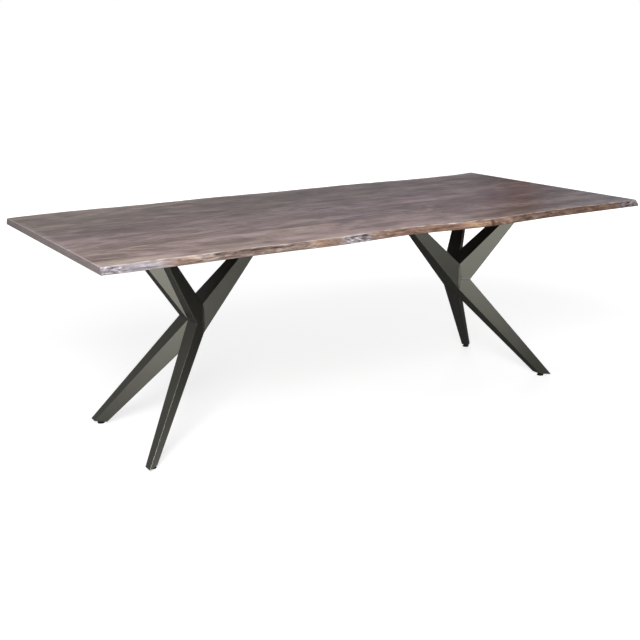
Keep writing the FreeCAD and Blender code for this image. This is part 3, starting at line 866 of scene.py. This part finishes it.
def weldRings():
    # beads of a right-hand base, those on the rear half mirrored to the front
    low = np.array([base["creaseX"], base["creaseY"], base["creaseLow"] + weld["filletEnds"]])
    high = np.array([base["creaseX"], base["creaseY"], base["creaseHigh"] - weld["filletEnds"]])
    alongInner = unit(innerFar - base["creaseX"], base["innerSpan"] / 2 - base["creaseY"], 0)
    alongStrip = unit(base["tipX"] - base["creaseX"], base["tipFar"] - base["creaseY"], 0)
    outOfStrip = unit(-alongStrip[1], alongStrip[0], 0)
    first = alongInner * weld["filletReach"]
    second = alongStrip * weld["filletReach"]
    beads = [bead(low, high, first, second, (first + second) * weld["filletBelly"], 3)]
    # flush seam between leg and arm, across the strip's outer face
    corner = np.array([base["creaseX"], base["creaseY"], base["hubZ"]])
    edge = np.array([base["hubX"], farY(base["hubX"]), base["hubZ"]])
    level = np.array([0, 0, weld["seamReach"]])
    beads.append(bead(corner, edge, -level, level, outOfStrip * weld["seamCrown"], 5))
    beads += [one * (1, -1, 1) for one in beads]
    # fillet in the outer notch, from the front strip to the rear one
    rear = edge - (0, weld["notchEnds"], 0)
    first = unit(armOuter - base["hubX"], 0, base["armTop"] - base["hubZ"]) * weld["notchReach"]
    second = unit(base["tipX"] - base["hubX"], 0, base["footZ"] - base["hubZ"]) * weld["notchReach"]
    beads.append(bead(rear * (1, -1, 1), rear, first, second, (first + second) * weld["notchBelly"], 7))
    return beads


beads = weldRings()
for side, signX in sides.items():
    addPiece(side + "WeldBeads", [ring * (signX, 1, 1) for ring in beads], coating, "table",
             (), {"fold": 1}, 60)
print("bases: weld beads")


# Plate screws: hexagon heads under the mounting plates

screw = {
    "headRadius": 0.0058, "headHeight": 0.004, "headGap": 0.0001,
    "headProfile": [(0, 0.8), (0.0002, 0.88), (0.0007, 1)],    # height from its face, share of its radius
    "shank": 0.003, "shankRoot": 0.0005, "grip": 0.016,
    "pointLength": 0.004, "pointRadius": 0.0008,
    "holeGap": 0.090,
}
mountingPlates = sorted(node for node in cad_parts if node.endswith("_plate") and "foot" not in node)


def spun(spot, reach, sides, z):
    # points at a reach from the upright line through spot, at even angles round it
    angle = np.arange(sides) * 2 * math.pi / sides
    x = spot[0] + reach * np.cos(angle)
    y = spot[1] + reach * np.sin(angle)
    return np.stack(np.broadcast_arrays(x, y, z), -1)


def hexRings(spot, radius, levels, sides=48):
    # hexagon bar, cut back by a circle at each level: levels are (z, circle radius)
    angle = np.arange(sides) * 2 * math.pi / sides
    flat = radius * math.cos(math.pi / 6) / np.cos(np.mod(angle, math.pi / 3) - math.pi / 6)
    levels = np.array(levels)
    return spun(spot, np.minimum(flat, levels[:, 1:]), sides, levels[:, :1])


def turnedRings(spot, profile, sides):
    # profile of (radius, z) pairs turned about the upright line through spot
    profile = np.array(profile)
    return spun(spot, profile[:, :1], sides, profile[:, 1:])


def plateScrews():
    # two under each plate: a head with a bevelled face, and a pointed shank up into the wood
    rings = []
    top = base["armTop"]
    radius = screw["headRadius"]
    low = top - screw["headHeight"]
    head = [(low + up, radius * share) for up, share in screw["headProfile"]]
    head.append((top - screw["headGap"], radius))
    for node in mountingPlates:
        plateLow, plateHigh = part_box(node)
        centre = (plateLow + plateHigh) / 2
        tip = plateHigh.z + screw["grip"]
        shank = [(screw["shank"], top - screw["shankRoot"]), (screw["shank"], tip - screw["pointLength"]),
                 (screw["pointRadius"], tip)]
        for step in (-1, 1):
            spot = (centre.x, centre.y + step * screw["holeGap"] / 2)
            rings += [hexRings(spot, radius, head), turnedRings(spot, shank, 24)]
    addPiece("plateScrews", rings, zinc, "table", ["plate_screws"])


plateScrews()
print("screws: twelve hexagon heads")


# Levelling feet

glide = {
    "padProfile": [                     # radius and height, millimetres, from the sole round to the bore
        (12.2, 0.0), (13.2, 0.15), (13.75, 0.6), (14.0, 1.3), (14.0, 2.3), (13.7, 3.0), (13.0, 3.4),
        (12.0, 3.5), (10.4, 3.6), (9.5, 3.9), (9.1, 4.5), (9.0, 5.2), (9.0, 7.1), (8.8, 7.55), (8.3, 7.8),
        (5.2, 7.8), (4.5, 7.5), (4.2, 6.9), (4.15, 3.02)],
    "padSides": 72,
    "studRadius": 0.004, "studLow": 0.00305, "studTop": 0.027, "studSides": 36,
    "pitch": 0.00125, "threadDepth": 0.0006, "threadSteep": 1.3, "ringsPerPitch": 9,
    "pointLength": 0.0012, "pointDepth": 0.001,
    "collarRadius": 0.0075, "collarLow": 0.008, "collarHigh": 0.0097,
    "collarBevel": 0.0003, "collarShare": 0.9,
}


def threadedRod(spot):
    # rod whose radius falls and rises once in each pitch along a helix, with flat crests and roots, and
    # pointed at its two ends
    rings = int((glide["studTop"] - glide["studLow"]) / glide["pitch"] * glide["ringsPerPitch"])
    z = np.linspace(glide["studLow"], glide["studTop"], rings)[:, None]
    turn = np.mod(z / glide["pitch"] - np.arange(glide["studSides"]) / glide["studSides"], 1)
    groove = np.clip((np.abs(2 * turn - 1) - 0.5) * glide["threadSteep"] + 0.5, 0, 1)
    fromEnd = np.minimum(z - glide["studLow"], glide["studTop"] - z)
    point = np.clip(1 - fromEnd / glide["pointLength"], 0, 1) * glide["pointDepth"]
    reach = glide["studRadius"] - glide["threadDepth"] * groove - point
    return spun(spot, reach, glide["studSides"], z)


def collarRings(spot):
    # hexagon collar with a bevel at both faces
    low, high, bevel = glide["collarLow"], glide["collarHigh"], glide["collarBevel"]
    radius = glide["collarRadius"]
    faceRadius = radius * glide["collarShare"]
    return hexRings(spot, radius, [
        (low, faceRadius), (low + bevel, radius), (high - bevel, radius), (high, faceRadius)])


for side in sides:
    for row in rows:
        where = side + "_" + row
        name = side + row.capitalize()
        low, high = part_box(where + "_glide_pad")
        spot = ((low.x + high.x) / 2, (low.y + high.y) / 2)
        pad = turnedRings(spot, np.array(glide["padProfile"]) / 1000, glide["padSides"])
        addPiece(name + "GlidePad", [pad], plastic, where + "_pad", [where + "_glide_pad"])
        stud = [threadedRod(spot), collarRings(spot)]
        addPiece(name + "GlideStud", stud, zinc, where + "_stud", [where + "_glide_stud"])
print("feet: four glides on threaded studs")


# Frame nodes that keep their shape

keptNodes = {"weld_nuts": zinc, "loose_tongues": plywood, **dict.fromkeys(mountingPlates, coating)}
for node, material in keptNodes.items():
    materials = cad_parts[node].data.materials
    materials.clear()
    materials.append(material)
print("kept nodes:", len(keptNodes))


# Stage: floor, studio light and camera

stage = {
    "floorReach": 30.0,
    "floorBounce": paint(96, 96, 94),            # what the floor throws back at the object
    "floorShadow": paint(170, 170, 170),         # the part of its white that a shadow takes away
    "floorNear": grey(0.74), "floorFar": grey(1.04), "farFade": (1.6, 4.5),    # the rest, by distance
    # in reflections: a painted pool of light that grows brighter along litSide, and painted shade that dims
    # it along the table
    "litSide": (-0.64, -0.77, 0.0),
    "floorPaintedShade": grey(0.07), "floorPaintedLight": grey(1.12), "floorPaintedGlow": grey(2.3),
    "litFade": (-0.4, 2.3), "glowFade": (1.5, 3.2), "alongFade": (0.2, 1.6), "alongDim": 0.3,
    "focal": 56.142, "sensor": 36.0,
    "eye": (-2.03006, -3.15193, 1.38086), "yaw": 31.9298, "pitch": 15.799, "roll": -0.3178,
}
lamps = {
    # place, target, size, power, and whether reflections show it
    "key": ((-2.9, -3.5, 3.2), (0, 0, 0.45), (1.8, 1.8), 262, True),
    "over": ((1.2, 0.2, 3.1), (0, 0, 0.76), (3.4, 0.3), 8, False),
    "fill": ((4.0, 4.4, 2.4), (0, 0, 0.4), (2.5, 2.5), 90, False),
}
coolWall = (0.34, 0.41, 0.48, 1)
wallEnd = (0.18, 0.22, 0.27, 1)
wallGap = (0.09, 0.045, 0.03, 1)
studio = {
    # walls in reflections, by degrees from +X towards +Y, darker above, and a ceiling
    "walls": [
        (0, grey(0.14, 1.1)), (30, coolWall), (42.5, coolWall), (44.9, wallEnd), (46.3, wallGap),
        (47.7, wallGap), (48.0, grey(0.27, 1.25)), (60, grey(0.36, 1.1)), (77, grey(0.42)), (90, grey(0.24)),
        (140, grey(0.22)), (215, grey(0.7)), (235, grey(0.7)), (270, grey(0.3)), (300, grey(0.16))],
    "wallTop": grey(0.05), "topShare": 0.5, "topFade": (0.2, 0.42),
    "ceiling": grey(0.5), "ceilingFade": (0.42, 0.95),
    # light on dull surfaces, and what the eye sees
    "softLow": grey(0.1), "softHigh": grey(0.34), "softFade": (0.3, 0.9),
    "backdrop": grey(1),
}


def rayKinds(sheet):
    # 1 for rays straight from the eye or through glass, and 1 for rays off a glossy surface
    camera, glossy, through = (sheet.make("ShaderNodeLightPath", output=name) for name in (
        "Is Camera Ray", "Is Glossy Ray", "Is Transmission Ray"))
    return sheet.math("MINIMUM", camera + through, 1), glossy


def addFloor():
    # white to the eye, but for the object's shadow; in reflections it shows a painted pool of light towards
    # the key, brighter than white, and painted shade behind and a little more at the right; from below it is
    # clear, so that the underside can be seen
    reach = stage["floorReach"]
    corners = [(-reach, -reach, 0), (reach, -reach, 0), (reach, reach, 0), (-reach, reach, 0)]
    mesh = bpy.data.meshes.new("floor")
    mesh.from_pydata(corners, [], [(0, 1, 2, 3)])
    floor = bpy.data.objects.new("floor", mesh)
    bpy.context.scene.collection.objects.link(floor)
    material, sheet = newMaterial("floorWhite")
    seen, glossy = rayKinds(sheet)
    place = coords(sheet)
    distance = sheet.make("ShaderNodeVectorMath", {"operation": "LENGTH"}, {0: place}, "Value")
    lit = sheet.make("ShaderNodeVectorMath", {"operation": "DOT_PRODUCT"}, {
        0: place, 1: stage["litSide"]}, "Value")
    bounce = sheet.make("ShaderNodeBsdfDiffuse", {}, {"Color": stage["floorBounce"]})
    # seen only in reflections: a painted pool of light towards the key, brighter than white, and painted
    # shade under and behind the table and to the right
    paintedReflection = mixed(sheet, smooth(sheet, lit, *stage["litFade"]), stage["floorPaintedShade"], stage["floorPaintedLight"])
    paintedReflection = mixed(sheet, smooth(sheet, lit, *stage["glowFade"]), paintedReflection, stage["floorPaintedGlow"])
    along = smooth(sheet, axes(sheet, place)[0], *stage["alongFade"])
    paintedReflection = mixed(sheet, along * stage["alongDim"], paintedReflection, stage["floorPaintedShade"])
    mirrored = sheet.make("ShaderNodeEmission", {}, {"Color": paintedReflection})
    shadowed = sheet.make("ShaderNodeBsdfDiffuse", {}, {"Color": stage["floorShadow"]})
    white = mixed(sheet, smooth(sheet, distance, *stage["farFade"]), stage["floorNear"], stage["floorFar"])
    glow = sheet.make("ShaderNodeEmission", {}, {"Color": white})
    shown = sheet.make("ShaderNodeAddShader", {}, {0: shadowed, 1: glow})
    unseen = sheet.make("ShaderNodeMixShader", {}, {0: glossy, 1: bounce, 2: mirrored})
    above = sheet.make("ShaderNodeMixShader", {}, {0: seen, 1: unseen, 2: shown})
    fromBelow = sheet.make("ShaderNodeNewGeometry", output="Backfacing")
    clear = sheet.make("ShaderNodeBsdfTransparent")
    finishMaterial(sheet, sheet.make("ShaderNodeMixShader", {}, {0: fromBelow, 1: above, 2: clear}))
    material.cycles.emission_sampling = "NONE"
    mesh.materials.append(material)


def addWorld():
    # white to the eye; soft light from above; reflections of walls, bright at the front left and dim at the
    # right, and behind the table a cool one and a grey one with a dark gap between them
    world = bpy.data.worlds.new("studio")
    bpy.context.scene.world = world
    world.use_nodes = True
    world.node_tree.nodes.clear()
    sheet = Shade(world.node_tree)
    x, y, z = axes(sheet, sheet.make("ShaderNodeTexCoord", output="Generated"))
    turn = sheet.math("FRACT", sheet.math("ARCTAN2", y, x) / (2 * math.pi) + 1)
    around = ramp(sheet, turn, [(degrees / 360, colour) for degrees, colour in studio["walls"]])
    darker = smooth(sheet, z, *studio["topFade"]) * studio["topShare"]
    upwards = mixed(sheet, darker, around, studio["wallTop"])
    mirrored = mixed(sheet, smooth(sheet, z, *studio["ceilingFade"]), upwards, studio["ceiling"])
    soft = mixed(sheet, smooth(sheet, z, *studio["softFade"]), studio["softLow"], studio["softHigh"])
    seen, glossy = rayKinds(sheet)
    colour = mixed(sheet, seen, mixed(sheet, glossy, soft, mirrored), studio["backdrop"])
    light = sheet.make("ShaderNodeBackground", {}, {"Color": colour})
    sheet.make("ShaderNodeOutputWorld", {}, {"Surface": light})


def addLamp(name, place, target, size, power, inReflections):
    lamp = bpy.data.lights.new(name + "Light", "AREA")
    lamp.shape = "RECTANGLE"
    lamp.size, lamp.size_y = size
    lamp.energy = power
    holder = bpy.data.objects.new(name + "Light", lamp)
    holder.location = place
    holder.rotation_euler = (Vector(target) - Vector(place)).to_track_quat("-Z", "Y").to_euler()
    holder.visible_glossy = inReflections
    bpy.context.scene.collection.objects.link(holder)


def addCamera():
    # looks along yaw from +Y towards +X, pitched down and slightly rolled
    yaw, pitch, roll = (math.radians(stage[word]) for word in ("yaw", "pitch", "roll"))
    ahead = Vector((math.sin(yaw) * math.cos(pitch), math.cos(yaw) * math.cos(pitch), -math.sin(pitch)))
    right = Vector((math.cos(yaw), -math.sin(yaw), 0))
    up = right.cross(ahead)
    across = math.cos(roll) * right + math.sin(roll) * up
    upward = -math.sin(roll) * right + math.cos(roll) * up
    lens = bpy.data.cameras.new("camera")
    lens.lens = stage["focal"]
    lens.sensor_width = stage["sensor"]
    camera = bpy.data.objects.new("camera", lens)
    turn = Matrix((across, upward, -ahead)).transposed()
    camera.matrix_world = Matrix.Translation(stage["eye"]) @ turn.to_4x4()
    bpy.context.scene.collection.objects.link(camera)
    bpy.context.scene.camera = camera


addFloor()
addWorld()
for name, settings in lamps.items():
    addLamp(name, *settings)
addCamera()
bpy.context.scene.view_settings.view_transform = "Standard"
print("stage: floor, studio and camera")
